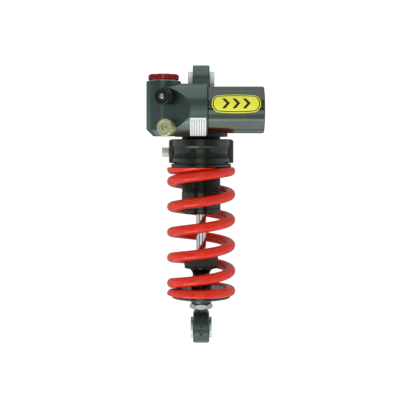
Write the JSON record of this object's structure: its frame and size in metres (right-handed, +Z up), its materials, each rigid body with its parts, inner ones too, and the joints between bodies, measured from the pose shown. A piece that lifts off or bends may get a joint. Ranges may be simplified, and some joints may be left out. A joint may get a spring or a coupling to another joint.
{
  "type": "motorcycle rear shock absorber",
  "caption": "Motorcycle rear shock absorber: coil spring over a gas damper, horizontal reservoir and adjuster knobs on the head, a spherical bearing eye at each end.",
  "frame": {"origin": "centre of the upper eye's bolt bore", "axes": "+Z up the shock's axis, from the lower eye to the upper eye; +X along the eye bolts, towards the reservoir's free end; -Y the side on which the reservoir stands"},
  "size_m": [0.1358, 0.1206, 0.3325],
  "materials": {
    "grey_anodised": "dark grey hard anodised, satin",
    "black_anodised": "black anodised, satin",
    "red_anodised": "dark red anodised, bright",
    "gold_anodised": "pale olive gold anodised",
    "plain_aluminium": "as machined",
    "satin_steel": "zinc plated steel, satin",
    "bearing_steel": "ground bearing steel",
    "dark_steel": "phosphated spring steel",
    "hard_chrome": "ground and polished hard chrome",
    "red_powder_coat": "glossy orange-red powder coat",
    "nitrile_rubber": "black nitrile",
    "bump_rubber": "dark microcellular polyurethane",
    "black_plastic": "moulded, matt",
    "bronze_bush": "bronze-filled bearing strip",
    "brass_fitting": "turned brass",
    "yellow_badge": "domed yellow plastic with a dark border",
    "paper_label": "white printed film"
  },
  "bodies": {
    "head_and_damper": {"head_casting": "grey_anodised", "upper_bearing_race": "bearing_steel", "upper_bearing_circlips": "dark_steel", "reservoir_tube": "grey_anodised", "reservoir_end_cap": "grey_anodised", "end_cap_o_ring": "nitrile_rubber", "end_cap_circlip": "dark_steel", "reservoir_o_ring": "nitrile_rubber", "gas_valve": "brass_fitting", "gas_valve_cap": "black_plastic", "badge_plate": "yellow_badge", "spec_label": "paper_label", "valve_gland": "plain_aluminium", "compression_valve": "plain_aluminium", "damper_tube": "black_anodised", "seal_head": "black_anodised", "rod_bush": "bronze_bush", "rod_seal": "nitrile_rubber", "wiper_seal": "nitrile_rubber", "seal_head_o_ring": "nitrile_rubber", "main_spring": "red_powder_coat"},
    "rod_assembly": {"damper_rod": "hard_chrome", "top_out_rubber": "nitrile_rubber", "piston": "plain_aluminium", "piston_band": "bronze_bush", "rebound_shims": "dark_steel", "compression_shims": "dark_steel", "piston_nut": "satin_steel", "bump_stop": "bump_rubber", "bump_stop_cup": "black_plastic", "rod_end_adapter": "grey_anodised", "lower_spring_seat": "grey_anodised"},
    "upper_seat": {"upper_spring_seat": "black_anodised", "thrust_washer": "dark_steel"},
    "preload_ring": {"preload_ring": "black_anodised", "preload_lock_screw": "satin_steel", "preload_lock_pad": "bronze_bush"},
    "rebound_knob": {"rebound_knob": "black_anodised", "rebound_knob_screw": "satin_steel", "rebound_needle": "satin_steel"},
    "low_speed_knob": {"low_speed_knob": "gold_anodised", "low_speed_knob_screw": "satin_steel", "low_speed_needle": "satin_steel"},
    "high_speed_knob": {"high_speed_knob": "red_anodised", "high_speed_stem": "red_anodised"},
    "gas_piston": {"gas_piston": "plain_aluminium", "gas_piston_seal": "nitrile_rubber"},
    "upper_ball": {"upper_bearing_ball": "bearing_steel", "upper_bearing_spacers": "satin_steel"},
    "ride_height_nut": {"ride_height_nut": "satin_steel"},
    "lower_eye": {"lower_eye": "grey_anodised", "lower_bearing_race": "bearing_steel", "lower_bearing_circlips": "dark_steel", "race_grub_screw": "dark_steel"},
    "lower_ball": {"lower_bearing_ball": "bearing_steel", "lower_bearing_spacers": "satin_steel"}
  },
  "joints": [
    {"name": "damper_stroke", "type": "slide", "parent": "head_and_damper", "child": "rod_assembly", "axis": [0, 0, 1], "range_m": [0, 0.054], "stiffness_N_per_m": 118000, "springref_m": -0.008, "deforming": ["main_spring", "bump_stop"]},
    {"name": "gas_piston_travel", "type": "slide", "parent": "head_and_damper", "child": "gas_piston", "axis": [1, 0, 0], "range_m": [0, 0.006]},
    {"name": "preload_travel", "type": "slide", "parent": "head_and_damper", "child": "upper_seat", "axis": [0, 0, -1], "range_m": [0, 0.01], "deforming": ["main_spring"]},
    {"name": "preload_ring_turn", "type": "hinge", "parent": "upper_seat", "child": "preload_ring", "pos_m": [0, 0, -0.0824], "axis": [0, 0, -1], "range_deg": [-5, 2410]},
    {"name": "rebound_knob_turn", "type": "hinge", "parent": "head_and_damper", "child": "rebound_knob", "pos_m": [-0.0382, -0.06276, -0.021], "axis": [-0.4617, -0.887, 0], "range_deg": [0, 1080]},
    {"name": "low_speed_knob_turn", "type": "hinge", "parent": "head_and_damper", "child": "low_speed_knob", "pos_m": [-0.0361, -0.06385, -0.0561], "axis": [-0.4617, -0.887, 0], "range_deg": [0, 1080]},
    {"name": "high_speed_knob_turn", "type": "hinge", "parent": "head_and_damper", "child": "high_speed_knob", "pos_m": [-0.0436, -0.0385, 0], "axis": [0, 0, 1], "range_deg": [0, 720]},
    {"name": "upper_ball_turn", "type": "hinge", "parent": "head_and_damper", "child": "upper_ball", "pos_m": [0, 0, 0], "axis": [1, 0, 0], "continuous": true},
    {"name": "ride_height_nut_turn", "type": "hinge", "parent": "rod_assembly", "child": "ride_height_nut", "pos_m": [0, 0, -0.2684], "axis": [0, 0, 1], "range_deg": [-850, 1450]},
    {"name": "ride_height_travel", "type": "slide", "parent": "rod_assembly", "child": "lower_eye", "axis": [0, 0, -1], "range_m": [-0.0035, 0.006]},
    {"name": "lower_ball_turn", "type": "hinge", "parent": "lower_eye", "child": "lower_ball", "pos_m": [0, 0, -0.294], "axis": [1, 0, 0], "continuous": true}
  ],
  "couplings": [
    {"joint": "gas_piston_travel", "follows": "damper_stroke", "ratio": 0.065188},
    {"joint": "preload_ring_turn", "follows": "preload_travel", "rad_per_m": 4188.8},
    {"joint": "ride_height_nut_turn", "follows": "ride_height_travel", "rad_per_m": 4188.8}
  ]
}
